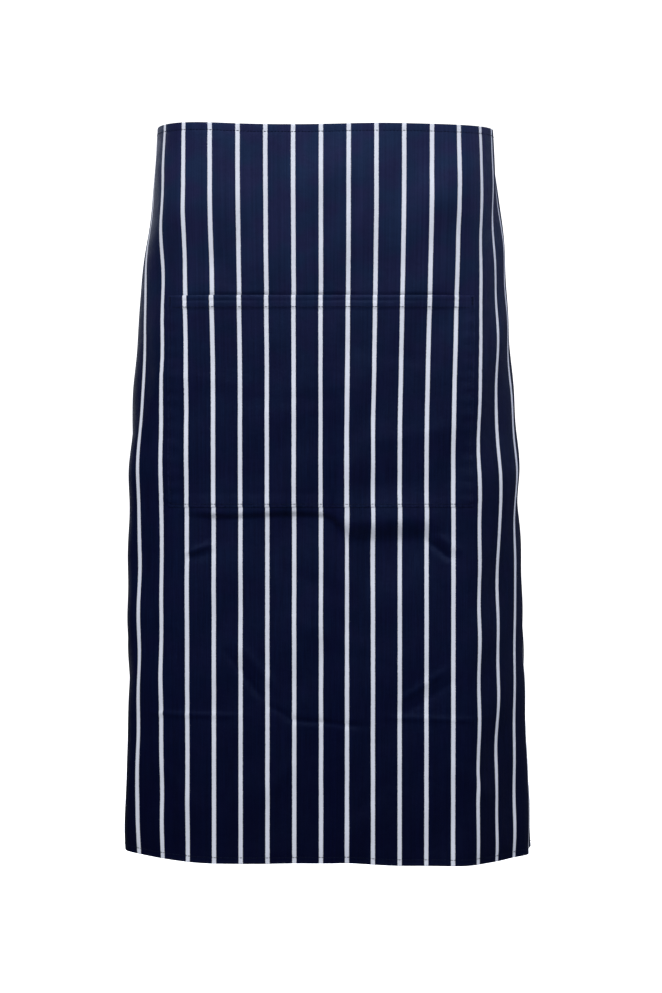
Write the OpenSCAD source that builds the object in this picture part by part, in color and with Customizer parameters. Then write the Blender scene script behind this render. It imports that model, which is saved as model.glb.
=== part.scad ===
// Long waist apron for a butcher or deli counter: one striped cloth, a wide patch pocket,
// turned hems and two cloth ties that are knotted in a bow behind the wearer.
// Origin at the middle of the waist, at the height of the top edge. Front faces -Y, up is +Z.
// Every cloth piece is laid out flat, as across and down, and then wrapped by at().

/* [Cloth] */
// Finished width of the cloth laid flat
flat_w = 760; // [750:5:770]
// Finished length from the waist to the bottom hem
flat_l = 700; // [660:10:740]
// Thickness of one layer of cloth
cloth_t = 1.0; // [0.8:0.1:1.2]
// Free gap kept between layers that are sewn together
layer_gap = 0.3; // [0.3:0.1:0.5]
// Distance from one woven stripe to the next
stripe_pitch = 25.4; // [24:0.2:26]

/* [Hems] */
// Depth of the turned waist hem
waist_hem_w = 10; // [8:1:14]
// Depth of the turned bottom hem
bottom_hem_w = 8; // [6:1:12]
// Depth of the turned side hems
side_hem_w = 10; // [8:1:14]
// Distance from a folded edge to its row of stitches
stitch_inset = 7; // [4:0.5:7]
// Width of a row of stitches
thread_w = 0.8; // [0.6:0.1:1.2]
// Height of a row of stitches
thread_t = 0.4; // [0.3:0.1:0.6]

/* [Pocket] */
// Width of the patch pocket
pocket_w = 290; // [250:10:300]
// Height of the patch pocket
pocket_h = 200; // [180:5:220]
// Distance from the waist edge down to the pocket mouth
pocket_drop = 161; // [160:1:180]
// Depth of the hem along the pocket mouth
pocket_hem_w = 12; // [10:1:16]
// How far the pocket stands open in its middle
pocket_open = 9; // [8:0.5:11]

/* [Ties] */
// Width of the cloth ties
tie_w = 25; // [20:1:28]
// Thickness of a tie
tie_t = 1.6; // [1.2:0.1:2.0]
// Length of a tie that is sewn behind the cloth
tie_lap = 28; // [24:1:32]
// Length of each loose tail below the knot
tail_l = 300; // [240:10:340]
// Length of each bow loop
loop_l = 92; // [80:1:100]

/* [Hidden] */
$fn = 32;

cloth_colour = [0.07, 0.09, 0.19];
hem_colour = [0.10, 0.12, 0.24];
tie_colour = [0.06, 0.08, 0.17];
thread_colour = [0.20, 0.24, 0.42];
label_colour = [0.90, 0.90, 0.88];

half_w = flat_w / 2;
face = cloth_t / 2;
front_y = -112;     // the cloth at the middle of the waist
front_lean = 10;    // how far the front falls back below the waist
lean_from = 40;     // the depth down the cloth where it starts to fall back
lean_to = 160;      // and where it hangs straight again
thigh = 330;        // depth down the cloth of the middle one of the three bend levels
front_draw = 0.027; // share by which the cloth is drawn wider across the front of the waist
draw_from = 50;     // the depth down the cloth where that starts to ease off
draw_to = 250;      // and where it has gone
draw_edge = 190;    // the distance from the middle where it starts to ease off sideways
draw_fade = 40;     // and how much further out it has gone
fold_turn = 20;     // degrees that the cloth tilts either side of its soft upright fold
fold_from = 150;    // the depth down the cloth where the fold begins
fold_run = 160;     // and how much deeper it is fully there

// How the cloth turns away from the front: [from, to, degrees], at the waist, thigh and hem
right_bends = [[[85, 210, 90], [210, 215, 0], [262, 375, 90]],
               [[139, 158, 43], [184, 228, 47], [250, 375, 58]],
               [[124, 160, 43], [213, 237, 47], [255, 380, 38]]];
left_bends = [[[83, 198, 90], [198, 203, 0], [256, 370, 90]],
              [[110, 185, 38], [180, 201, 52], [250, 375, 56]],
              [[100, 178, 29], [178, 204, 61], [245, 380, 42]]];

// The wrapped cloth is worked out once on a grid, with half a stripe from column to column
col_step = stripe_pitch / 2;
back_reach = 74;    // how far past the cloth's side edges the ties need the grid
side_cols = ceil((half_w + back_reach) / col_step);
rows = 20;
row_step = flat_l / rows;

function smooth(t) = let (c = min(1, max(0, t))) c * c * (3 - 2 * c);
function mix(a, b, t) = a + (b - a) * t;
function unit(v) = v / norm(v);
// Nearly even from 0 to 1, eased a little at its ends
function ease(t) = mix(min(1, max(0, t)), smooth(t), 0.3);

function level_turn(u, bends) =
    let (parts = [for (b = bends) b[2] * smooth((u - b[0]) / (b[1] - b[0]))])
    parts[0] + parts[1] + parts[2];
function turn(u, v, bends) = v < thigh
    ? mix(level_turn(u, bends[0]), level_turn(u, bends[1]), ease(v / thigh))
    : mix(level_turn(u, bends[1]), level_turn(u, bends[2]),
          ease((v - thigh) / (flat_l - thigh)));

// The soft upright fold just right of the middle, over two stripes, out and back again
fold_w = 2 * stripe_pitch;
function fold(u, v) = u > fold_w ? 0
    : -fold_turn * sin(360 * u / fold_w) * smooth((v - fold_from) / fold_run);

// How much wider than flat the cloth is drawn there
function drawn(u, v) = 1 + front_draw * (1 - smooth((v - draw_from) / (draw_to - draw_from)))
                                      * (1 - smooth((u - draw_edge) / draw_fade));

// One side of one row: the places of its columns, walked outwards from the middle
function half_row(v, bends, fold_turns) =
    let (mids = [for (i = [0 : side_cols - 1]) (i + 0.5) * col_step],
         moves = [for (u = mids) let (a = turn(u, v, bends) + fold_turns * fold(u, v))
                      col_step * drawn(u, v) * [cos(a), sin(a)]])
    [for (i = 0, p = [0, 0]; i <= side_cols; p = p + moves[min(i, side_cols - 1)], i = i + 1) p];
function row(v) =
    let (right = half_row(v, right_bends, 1), left = half_row(v, left_bends, 0),
         y = front_y + front_lean * smooth((v - lean_from) / (lean_to - lean_from)))
    [for (i = [-side_cols : side_cols])
        i < 0 ? [-left[-i][0], y + left[-i][1]] : [right[i][0], y + right[i][1]]];

plan = [for (j = [0 : rows]) row(j * row_step)];
// Each column keeps its length, so it hangs less deep where it also runs sideways
function drops(i) =
    let (falls = [for (j = [0 : rows - 1])
                      sqrt(pow(row_step, 2) - pow(norm(plan[j + 1][i] - plan[j][i]), 2))])
    [for (j = 0, z = 0; j <= rows; z = z - falls[min(j, rows - 1)], j = j + 1) z];
columns = [for (i = [0 : 2 * side_cols]) drops(i)];
grid = [for (j = [0 : rows]) [for (i = [0 : 2 * side_cols])
            [plan[j][i][0], plan[j][i][1], columns[i][j]]]];
function out_at(i, j) =
    let (across = grid[j][min(i + 1, 2 * side_cols)] - grid[j][max(i - 1, 0)],
         down = grid[min(j + 1, rows)][i] - grid[max(j - 1, 0)][i])
    unit(cross(down, across));
outward = [for (j = [0 : rows]) [for (i = [0 : 2 * side_cols]) out_at(i, j)]];

function blend4(table, i, j, a, b) =
    mix(mix(table[j][i], table[j][i + 1], a), mix(table[j + 1][i], table[j + 1][i + 1], a), b);
// The place of a point of the flat cloth: u across from the middle, v down, d out of the cloth
function at(u, v, d) =
    let (cu = min(2 * side_cols - 0.001, max(0, u / col_step + side_cols)),
         cv = min(rows - 0.001, max(0, v / row_step)),
         i = floor(cu), j = floor(cv))
    blend4(grid, i, j, cu - i, cv - j) + d * blend4(outward, i, j, cu - i, cv - j);

// Lines of the grid between two limits, with the limits themselves
function lines(a, b, step) =
    [a, for (k = [floor(a / step) + 1 : ceil(b / step) - 1])
            if (k * step - a > 1 && b - k * step > 1) k * step, b];
function across(a, b) = lines(a, b, col_step);
function down(a, b) = lines(a, b, row_step);

// A closed sheet over a grid of points, from its inner face to its outer face
module sheet(us, vs, inner, outer) {
    nu = len(us);
    nv = len(vs);
    n = nu * nv;
    points = concat([for (v = vs) for (u = us) at(u, v, inner(u, v))],
                    [for (v = vs) for (u = us) at(u, v, outer(u, v))]);
    faces = concat(
        [for (j = [0 : nv - 2]) for (i = [0 : nu - 2]) let (k = j * nu + i)
            each [[k, k + 1, k + nu + 1], [k, k + nu + 1, k + nu]]],
        [for (j = [0 : nv - 2]) for (i = [0 : nu - 2]) let (k = n + j * nu + i)
            each [[k, k + nu + 1, k + 1], [k, k + nu, k + nu + 1]]],
        [for (i = [0 : nu - 2]) each [[i, i + n + 1, i + 1], [i, i + n, i + n + 1]]],
        [for (i = [0 : nu - 2]) let (k = n - nu + i)
            each [[k, k + 1, k + n + 1], [k, k + n + 1, k + n]]],
        [for (j = [0 : nv - 2]) let (k = j * nu)
            each [[k, k + nu, k + n + nu], [k, k + n + nu, k + n]]],
        [for (j = [0 : nv - 2]) let (k = j * nu + nu - 1)
            each [[k, k + n + nu, k + nu], [k, k + n, k + n + nu]]]);
    polyhedron(points, faces);
}

// A sheet of even thickness that starts a distance out of the middle of the cloth
module layer(us, vs, from, thick) {
    sheet(us, vs, function(u, v) from, function(u, v) from + thick);
}

hem_from = -face - layer_gap - cloth_t;
tie_from = -face - layer_gap - tie_t;
hem_clear = 1;      // room left between the ends of hems, ties and the label
tie_drop = waist_hem_w + hem_clear;

module apron_panel() {
    color(cloth_colour)
        layer(across(-half_w, half_w), down(0, flat_l), -face, cloth_t);
}

module waist_hem() {
    color(hem_colour)
        layer(across(-half_w, half_w), [0, waist_hem_w], hem_from, cloth_t);
}

module bottom_hem() {
    color(hem_colour)
        layer(across(-half_w, half_w), [flat_l - bottom_hem_w, flat_l], hem_from, cloth_t);
}

// The side hems stop short of the top and bottom hems and of the ties
side_top = tie_drop + tie_w + hem_clear;
side_bottom = flat_l - bottom_hem_w - hem_clear;
module side_hem(side) {
    us = side > 0 ? [half_w - side_hem_w, half_w] : [-half_w, side_hem_w - half_w];
    color(hem_colour) layer(us, down(side_top, side_bottom), hem_from, cloth_t);
}
module side_hem_left() { side_hem(-1); }
module side_hem_right() { side_hem(1); }

// The pocket lies on the cloth along its seams and stands open in the middle, with room for
// its turned hem between the two
pocket_half = pocket_w / 2;
pocket_bottom = pocket_drop + pocket_h;
pocket_hem_t = cloth_t / 2;
seam_margin = 5;    // the flat border of the pocket that is sewn down
seam_run = 40;      // how far inside it the pocket takes to stand open
function pocket_gap(u, v) =
    face + 2 * layer_gap + pocket_hem_t
    + pocket_open * smooth((pocket_half - seam_margin - abs(u)) / seam_run)
                  * smooth((pocket_bottom - seam_margin - v) / seam_run);
pocket_row = row_step / 2;
function pocket_across(edge) =
    concat([-edge], across(seam_margin - pocket_half, pocket_half - seam_margin), [edge]);
pocket_us = pocket_across(pocket_half);
pocket_vs = concat(lines(pocket_drop, pocket_bottom - seam_margin, pocket_row),
                   [pocket_bottom]);
module pocket_panel() {
    color(cloth_colour)
        sheet(pocket_us, pocket_vs, function(u, v) pocket_gap(u, v),
              function(u, v) pocket_gap(u, v) + cloth_t);
}

// The hem along the pocket's mouth is turned to the inside
pocket_hem_bottom = pocket_drop + pocket_hem_w;
function under_pocket(u, v) = pocket_gap(u, v) - layer_gap - pocket_hem_t;
module pocket_hem() {
    color(hem_colour)
        sheet(pocket_us, [pocket_drop, pocket_hem_bottom],
              function(u, v) under_pocket(u, v),
              function(u, v) under_pocket(u, v) + pocket_hem_t);
}

// A row of stitches that runs across, and one that runs down, a distance out of the cloth
module stitches_across(us, v, from) {
    sheet(us, [v - thread_w / 2, v + thread_w / 2], function(u, w) from(u, w),
          function(u, w) from(u, w) + thread_t);
}
module stitches_down(u, vs, from) {
    sheet([u - thread_w / 2, u + thread_w / 2], vs, function(w, v) from(w, v),
          function(w, v) from(w, v) + thread_t);
}

thread_gap = 0.3;
on_cloth = function(u, v) face + thread_gap;
module waist_stitching() {
    color(thread_colour)
        stitches_across(across(1 - half_w, half_w - 1), stitch_inset, on_cloth);
}

bottom_inset = min(stitch_inset, bottom_hem_w) - 2;
module bottom_stitching() {
    color(thread_colour)
        stitches_across(across(1 - half_w, half_w - 1), flat_l - bottom_inset, on_cloth);
}

module side_stitching(side) {
    color(thread_colour)
        stitches_down(side * (half_w - stitch_inset), down(side_top, side_bottom), on_cloth);
}
module side_stitching_left() { side_stitching(-1); }
module side_stitching_right() { side_stitching(1); }

on_pocket = function(u, v) pocket_gap(u, v) + cloth_t + thread_gap;
module pocket_mouth_stitching() {
    color(thread_colour)
        stitches_across(across(seam_margin - pocket_half, pocket_half - seam_margin),
                        pocket_hem_bottom - thread_w, on_pocket);
}

// The pocket is sewn down along both sides and the bottom
seam_inset = 2.5;
module pocket_seam_stitching() {
    seam_u = pocket_half - seam_inset;
    seam_v = pocket_bottom - seam_inset;
    top = pocket_drop + tack_h + hem_clear;
    color(thread_colour) {
        for (side = [-1, 1])
            stitches_down(side * seam_u, lines(top, seam_v - 1, pocket_row), on_pocket);
        stitches_across(pocket_across(seam_u), seam_v, on_pocket);
    }
}

// A short dense bar of thread locks each top corner of the pocket
tack_h = 9;
tack_w = 2;
module pocket_bar_tacks() {
    color(thread_colour)
        for (side = [-1, 1])
            let (u = side * (pocket_half - seam_inset))
            sheet([u - tack_w / 2, u + tack_w / 2], [pocket_drop + 1, pocket_drop + tack_h],
                  function(w, v) on_pocket(w, v),
                  function(w, v) on_pocket(w, v) + thread_t);
}

// The ties run on round the back from the top corners and meet at the knot
knot_w = 26;
knot_deep = 24;
knot_h = 28;
right_edge = at(half_w, 0, 0);
left_edge = at(-half_w, 0, 0);
knot_x = (right_edge[0] + left_edge[0]) / 2;
knot_y = (right_edge[1] + left_edge[1]) / 2 + 9;
knot_z = -tie_drop - tie_w / 2;
module waist_tie(side) {
    reach = (right_edge[0] - left_edge[0] - knot_w) / 2 - layer_gap;
    us = side > 0 ? across(half_w - tie_lap, half_w + reach)
                  : across(-half_w - reach, tie_lap - half_w);
    color(tie_colour) layer(us, [tie_drop, tie_drop + tie_w], tie_from, tie_t);
}
module waist_tie_left() { waist_tie(-1); }
module waist_tie_right() { waist_tie(1); }

// A square of stitches holds each tie to the cloth
module tie_box_stitching(side) {
    inset = 4;
    near = half_w - tie_lap + inset;
    far = half_w - inset;
    top = tie_drop + inset;
    bottom = tie_drop + tie_w - inset;
    us = side > 0 ? across(near + 1, far - 1) : across(1 - far, -near - 1);
    color(thread_colour) {
        for (v = [top, bottom]) stitches_across(us, v, on_cloth);
        for (u = [near, far]) stitches_down(side * u, [top, bottom], on_cloth);
    }
}
module tie_box_stitching_left() { tie_box_stitching(-1); }
module tie_box_stitching_right() { tie_box_stitching(1); }

module bow_knot() {
    soft = 6;
    color(tie_colour)
        translate([knot_x, knot_y, knot_z])
            hull()
                for (x = [-1, 1]) for (z = [-1, 1])
                    translate([x * (knot_w / 2 - soft), 0, z * (knot_h / 2 - soft)])
                        rotate([90, 0, 0])
                            cylinder(r = soft, h = knot_deep - 4, center = true);
}

// A bow loop is a drop-shaped strip, narrow at the knot and widest towards its end
loop_fat = 17;
loop_tilt = 12;     // degrees that a loop droops
loop_stand = 8;     // degrees that a loop stands away from the back
loop_rise = 4;
loop_from = 24;     // degrees round the drop where the strip leaves the knot
function drop_line(t) = [loop_l / 2 * (1 - cos(t)), loop_fat * sin(t) * sin(t / 2) * 0.65];
function drop_side(t) =
    let (d = unit(drop_line(t + 1) - drop_line(t - 1))) [-d[1], d[0]];
module bow_loop(side) {
    steps = [for (k = [0 : 48]) loop_from + k * (360 - 2 * loop_from) / 48];
    outer = [for (t = steps) drop_line(t) - drop_side(t) * tie_t / 2];
    inner = [for (t = steps) drop_line(t) + drop_side(t) * tie_t / 2];
    turned = [for (k = [len(inner) - 1 : -1 : 0]) inner[k]];
    start = knot_w / 2 + 2 * layer_gap + tie_w / 2 * sin(loop_tilt) + tie_t / 2;
    color(tie_colour)
        translate([knot_x, knot_y, knot_z + loop_rise])
            mirror([side > 0 ? 0 : 1, 0, 0])
                rotate([0, loop_tilt, loop_stand])
                    translate([start - drop_line(loop_from)[0], 0, -tie_w / 2])
                        linear_extrude(tie_w) polygon(concat(outer, turned));
}
module bow_loop_left() { bow_loop(-1); }
module bow_loop_right() { bow_loop(1); }

// The tails hang from the underside of the knot, each swinging about its own top edge
tail_x = 8;
tail_top = knot_z - knot_h / 2 - 1;
tail_splay = 10;
tail_neck = 5;
tail_flare = 32;
tail_slant = 10;
module tail_place(side) {
    translate([knot_x + side * tail_x, knot_y, tail_top])
        mirror([side > 0 ? 0 : 1, 0, 0]) rotate([0, -tail_splay, 0]) children();
}
module tie_tail(side) {
    color(tie_colour)
        tail_place(side)
            rotate([90, 0, 0])
                linear_extrude(tie_t, center = true)
                    polygon([[-tail_neck, 0], [tail_neck, 0], [tie_w / 2, -tail_flare],
                             [tie_w / 2, -tail_l], [-tie_w / 2, tail_slant - tail_l],
                             [-tie_w / 2, -tail_flare]]);
}
module tie_tail_left() { tie_tail(-1); }
module tie_tail_right() { tie_tail(1); }

// The cut end of each tail is turned and sewn, on both faces alike
module tail_end_stitching(side) {
    inset = 8;
    lean = atan2(tail_slant, tie_w);
    color(thread_colour)
        tail_place(side)
            for (y = [-1, 1])
                translate([0, y * (tie_t / 2 + thread_gap + thread_t / 2),
                           tail_slant / 2 + inset - tail_l])
                    rotate([0, lean, 0])
                        cube([tie_w - 2, thread_t, thread_w], center = true);
}
module tail_end_stitching_left() { tail_end_stitching(-1); }
module tail_end_stitching_right() { tail_end_stitching(1); }

// A blank care label hangs inside the waist
label_u = 40;
label_w = 35;
label_h = 50;
label_top = waist_hem_w + hem_clear;
label_t = 0.4;
label_from = -face - layer_gap - label_t;
module care_label() {
    color(label_colour)
        layer(across(label_u, label_u + label_w), lines(label_top, label_top + label_h, row_step),
              label_from, label_t);
}
inside_label = function(u, v) label_from - thread_gap - thread_t;
module care_label_stitching() {
    color(thread_colour)
        stitches_across(across(label_u + 2, label_u + label_w - 2), label_top + 2, inside_label);
}

apron_panel();
waist_hem();
bottom_hem();
side_hem_left();
side_hem_right();
pocket_panel();
pocket_hem();
waist_stitching();
bottom_stitching();
side_stitching_left();
side_stitching_right();
pocket_mouth_stitching();
pocket_seam_stitching();
pocket_bar_tacks();
waist_tie_left();
waist_tie_right();
tie_box_stitching_left();
tie_box_stitching_right();
bow_knot();
bow_loop_left();
bow_loop_right();
tie_tail_left();
tie_tail_right();
tail_end_stitching_left();
tail_end_stitching_right();
care_label();
care_label_stitching();
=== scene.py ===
import math

import bpy
import numpy as np
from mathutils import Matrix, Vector


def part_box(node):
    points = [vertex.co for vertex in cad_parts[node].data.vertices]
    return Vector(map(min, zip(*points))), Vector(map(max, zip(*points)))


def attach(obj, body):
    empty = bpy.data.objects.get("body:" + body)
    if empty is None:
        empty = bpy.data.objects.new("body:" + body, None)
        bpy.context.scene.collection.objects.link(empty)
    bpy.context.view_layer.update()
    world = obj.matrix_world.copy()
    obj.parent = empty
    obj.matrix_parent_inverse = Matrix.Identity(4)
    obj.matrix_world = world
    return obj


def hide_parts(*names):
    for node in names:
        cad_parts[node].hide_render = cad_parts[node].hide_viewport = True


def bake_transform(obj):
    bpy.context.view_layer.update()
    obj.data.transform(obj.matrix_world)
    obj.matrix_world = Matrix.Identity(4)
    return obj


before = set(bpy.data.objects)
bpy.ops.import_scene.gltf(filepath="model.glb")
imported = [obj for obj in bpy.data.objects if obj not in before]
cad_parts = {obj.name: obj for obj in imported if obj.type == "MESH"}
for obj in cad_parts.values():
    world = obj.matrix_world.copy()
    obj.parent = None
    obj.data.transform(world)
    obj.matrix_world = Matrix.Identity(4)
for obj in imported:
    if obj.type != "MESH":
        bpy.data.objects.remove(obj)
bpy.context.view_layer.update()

# A long waist apron. Lengths are in millimetres until a mesh is made, which is in metres.
# The cloth is laid flat as u (across from its middle) and v (down from its top edge), and
# at(u, v, d) wraps it round the wearer, d out of the cloth, as the CAD source does.
MM = 0.001
HALF_W = 380.0
FLAT_L = 700.0
STRIPE_PITCH = 25.4
CLOTH_T = 0.6
FACE = CLOTH_T / 2

# ---------------------------------------------------------------- the worn cloth's surface
FRONT_Y = -112.0
FRONT_LEAN = 10.0
LEAN_FROM = 40.0
LEAN_TO = 160.0
THIGH = 330.0
FRONT_DRAW = 0.027
DRAW_FROM = 50.0
DRAW_TO = 250.0
DRAW_EDGE = 190.0
DRAW_FADE = 40.0
FOLD_TURN = 20.0
FOLD_FROM = 150.0
FOLD_RUN = 160.0
FOLD_W = 2 * STRIPE_PITCH
RIGHT_BENDS = (((85, 210, 90), (210, 215, 0), (262, 375, 90)),
               ((139, 158, 43), (184, 228, 47), (250, 375, 58)),
               ((124, 160, 43), (213, 237, 47), (255, 380, 38)))
LEFT_BENDS = (((83, 198, 90), (198, 203, 0), (256, 370, 90)),
              ((110, 185, 38), (180, 201, 52), (250, 375, 56)),
              ((100, 178, 29), (178, 204, 61), (245, 380, 42)))
U_STEP = STRIPE_PITCH / 8
SIDE_COLS = 144
V_STEP = 4.0
V_FROM = -8.0
ROWS = 179


def smooth(t):
    """0 up to t = 0, 1 from t = 1 on, and an eased rise between."""
    c = np.clip(t, 0.0, 1.0)
    return c * c * (3.0 - 2.0 * c)


def mix(a, b, t):
    return a + (b - a) * t


def ease(t):
    """Nearly even from 0 to 1, eased a little at its ends."""
    return mix(np.clip(t, 0.0, 1.0), smooth(t), 0.3)


def unit(vectors):
    return vectors / np.maximum(np.linalg.norm(vectors, axis=-1, keepdims=True), 1e-12)


def level_turn(u, bends):
    """Degrees that a level of the cloth has turned from the front by u."""
    return sum(b[2] * smooth((u - b[0]) / (b[1] - b[0])) for b in bends)


def turn(u, v, bends):
    """How far the cloth has turned from the front, in radians."""
    waist, thigh, hem = (level_turn(u, b) for b in bends)
    upper = mix(waist, thigh, ease(v / THIGH))
    lower = mix(thigh, hem, ease((v - THIGH) / (FLAT_L - THIGH)))
    return np.radians(np.where(v < THIGH, upper, lower))


def fold(u, v):
    """The soft upright fold just right of the middle, over two stripes, out and back."""
    tilt = np.where(u > FOLD_W, 0.0, np.sin(2 * math.pi * u / FOLD_W))
    return -math.radians(FOLD_TURN) * tilt * smooth((v - FOLD_FROM) / FOLD_RUN)


def half_rows(v, bends, fold_turns):
    """One side's columns in plan, walked outwards from the middle, a row to each v."""
    u = (np.arange(SIDE_COLS) + 0.5) * U_STEP
    angle = turn(u[None, :], v[:, None], bends) + fold_turns * fold(u[None, :], v[:, None])
    drawn = 1 + FRONT_DRAW * ((1 - smooth((v - DRAW_FROM) / (DRAW_TO - DRAW_FROM)))[:, None]
                              * (1 - smooth((u - DRAW_EDGE) / DRAW_FADE))[None, :])
    start = np.zeros((len(v), 1))
    x = np.hstack([start, np.cumsum(U_STEP * drawn * np.cos(angle), axis=1)])
    y = np.hstack([start, np.cumsum(U_STEP * drawn * np.sin(angle), axis=1)])
    return x, y


def worn_grid():
    """The surface's points on an even grid of (v, u), and its outward directions."""
    v = V_FROM + V_STEP * np.arange(ROWS + 1)
    right_x, right_y = half_rows(v, RIGHT_BENDS, 1)
    left_x, left_y = half_rows(v, LEFT_BENDS, 0)
    front = FRONT_Y + FRONT_LEAN * smooth((v - LEAN_FROM) / (LEAN_TO - LEAN_FROM))
    x = np.hstack([-left_x[:, :0:-1], right_x])
    y = np.hstack([left_y[:, :0:-1], right_y]) + front[:, None]
    shift = np.hypot(np.diff(x, axis=0), np.diff(y, axis=0))
    falls = np.sqrt(np.maximum(V_STEP ** 2 - shift ** 2, 0.01))
    z = -np.vstack([np.zeros((1, x.shape[1])), np.cumsum(falls, axis=0)])
    z -= z[int(-V_FROM / V_STEP)]
    points = np.stack([x, y, z], axis=-1)
    outward = unit(np.cross(np.gradient(points, axis=0), np.gradient(points, axis=1)))
    return points, outward


GRID, OUTWARD = worn_grid()

# ---------------------------------------------------------------- creases and soft waves
rng = np.random.default_rng(41)
WAVES = [(rng.uniform(0.12, 0.42), rng.uniform(0.6, 1.0) / rng.uniform(50, 150),
          rng.uniform(-1.0, 1.0) / rng.uniform(60, 180), rng.uniform(0, 2 * math.pi))
         for _ in range(18)]

# Creases left by folding and wear: u and v of both ends, height and half width
CREASES = (
    (-126, 405, -104, 396, 1.9, 2.7),
    (-132, 412, -100, 404, -0.9, 4.0),
    (104, 394, 125, 412, -2.6, 2.9),
    (112, 388, 133, 404, 1.7, 3.6),
    (-90, 498, -53, 546, -1.7, 2.9),
    (-80, 490, -42, 534, 1.5, 4.2),
    (76, 545, 122, 514, 1.9, 2.9),
    (82, 556, 130, 524, -1.4, 3.6),
    (-166, 558, -75, 559, 1.1, 2.2),
    (-30, 563, 44, 569, -1.3, 2.4),
    (64, 560, 150, 562, 1.0, 2.4),
    (-52, 548, -20, 566, -1.1, 2.9),
    (-140, 349, 20, 348, -0.3, 3.0),
    (-104, 120, -72, 158, -1.5, 13.0),
    (-160, 236, -60, 246, 0.8, 8.0),
    (-70, 262, 30, 258, -0.7, 7.0),
    (-60, 640, -20, 600, 0.9, 7.0),
    (30, 655, 75, 612, -0.9, 7.0),
    (120, 600, 172, 640, 1.0, 8.0),
    (-150, 610, -118, 650, 1.0, 8.0),
    (-40, 420, 40, 452, -0.8, 8.0),
    (-30, 470, 60, 500, 0.8, 9.0),
    (90, 60, 150, 92, 0.6, 9.0),
    (-150, 95, -90, 60, 0.6, 9.0),
    (20, 210, 120, 226, -0.6, 8.0),
    (40, 300, 135, 286, 0.7, 8.0),
)
POCKET_HALF = 145.0
POCKET_TOP = 161.0
POCKET_BOTTOM = 361.0
SEAM_INSET = 2.5
WAIST_ROW = 7.0
BOTTOM_ROW = FLAT_L - 6.0
MOUTH_DENT = 1.2
# The step under the pocket's bottom seam: each pair is at its left and at its right
SHELF_DROP = (3.6, 7.5)
SHELF_FALL = (7.5, 23.0)
SHELF_ABOVE = 38.0
SHELF_BELOW = 60.0
FLANK_RIPPLE = 1.2
BACK_FLUTE = 4.0
BACK_FROM = 215.0
HEM_PUCKER = 0.13
SEAM_PUCKER = 0.28
BASE_PUCKER = 0.22


def crease(u, v, u0, v0, u1, v1, height, width):
    """A ridge from one flat point to another, or a groove if its height is below 0."""
    run_u, run_v = u1 - u0, v1 - v0
    length = math.hypot(run_u, run_v)
    along = ((u - u0) * run_u + (v - v0) * run_v) / length ** 2
    aside = ((v - v0) * run_u - (u - u0) * run_v) / length
    ends = smooth((along + 0.15) / 0.4) * smooth((1.15 - along) / 0.4)
    return height * np.exp(-(aside / width) ** 2) * ends


def shelf(v, edge, drop, above, fall, below):
    """The cloth swells down to an edge, drops behind it over a short fall, and recovers."""
    rise = drop / 2 * smooth((v - edge + above) / above)
    step = -drop * smooth((v - edge) / fall)
    back = drop / 2 * smooth((v - edge - fall) / below)
    return rise + step + back


def mouth_dent(u, v):
    """How far the apron's cloth falls back behind the pocket's mouth."""
    across = smooth((POCKET_HALF - 6 - np.abs(u)) / 22) * (0.8 + 0.3 * np.sin(u / 13 + 1.1))
    fall = smooth((v - POCKET_TOP + 3.5) / 4)
    return MOUTH_DENT * across * fall * smooth((POCKET_TOP + 50 - v) / 40)


def droop(u, v):
    """How far below its level in the plain shape a point of the cloth hangs."""
    rise = 2.6 * np.exp(-((u + 130) / 52) ** 2) + 1.4 * np.exp(-((u - 55) / 48) ** 2)
    top = -rise * (1 - smooth(v / 150))
    lower = 0.7 * smooth((v - 350) / 350) - 0.8 * smooth(v / 200)
    right = 2.2 * smooth((u - 15) / 70) * smooth((v - 450) / 250)
    left = -5.7 * smooth((-u - 95) / 100) * smooth((v - 500) / 200)
    notch = -1.3 * np.exp(-((u - 26) / 16) ** 2) * smooth((v - 560) / 140)
    return top + lower + right + left + notch


def pocket_shelf(u, v):
    """The cloth falls in below the pocket's bottom seam, further down towards the right."""
    right = smooth((u - 4) / 26)
    edge = POCKET_BOTTOM + 4 + 8 * right + 1.2 * np.sin(u / 19)
    reach = smooth((u + 140) / 40) * smooth((122 - u) / 25)
    return reach * shelf(v, edge, mix(*SHELF_DROP, right), SHELF_ABOVE,
                         mix(*SHELF_FALL, right), SHELF_BELOW)


def side_waves(u, v):
    """Upright ripples down the two sides, and flutes towards the hem behind."""
    side = np.abs(u)
    phase = np.where(u > 0, 0.4, 2.1)
    flank = smooth((side - 155) / 22) * smooth((204 - side) / 22) * smooth((v - 60) / 80)
    behind = smooth((side - BACK_FROM) / 60) * smooth((v - 150) / 400)
    return (flank * FLANK_RIPPLE * np.sin(v / 26 + phase)
            + behind * BACK_FLUTE * np.sin((side - BACK_FROM) / 14.5 + 0.004 * v + phase))


def puckers(u, v):
    """The stitches draw the cloth in a little along the hems and round the pocket."""
    lift = 0.0
    for row, period in ((WAIST_ROW, 8.5), (BOTTOM_ROW, 9.5)):
        pull = np.exp(-((v - row) / 1.6) ** 2)
        near = np.exp(-((v - row) / 7.0) ** 2)
        wander = np.sin(2 * math.pi * u / period + 1.7 * np.sin(u / 31))
        lift = lift - 0.16 * pull + HEM_PUCKER * near * wander
    seam_u = POCKET_HALF - SEAM_INSET
    for edge_u in (-seam_u, seam_u):
        near = np.exp(-((u - edge_u) / 9.0) ** 2)
        within = smooth((v - POCKET_TOP) / 8) * smooth((POCKET_BOTTOM + 6 - v) / 10)
        wander = np.sin(2 * math.pi * v / 13 + 1.3 * np.sin(v / 19))
        lift = lift + SEAM_PUCKER * near * within * wander
    near = np.exp(-((v - POCKET_BOTTOM + SEAM_INSET) / 9.0) ** 2)
    wander = np.sin(2 * math.pi * u / 14 + 1.3 * np.sin(u / 23))
    return lift + BASE_PUCKER * near * smooth((150 - np.abs(u)) / 10) * wander


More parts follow.
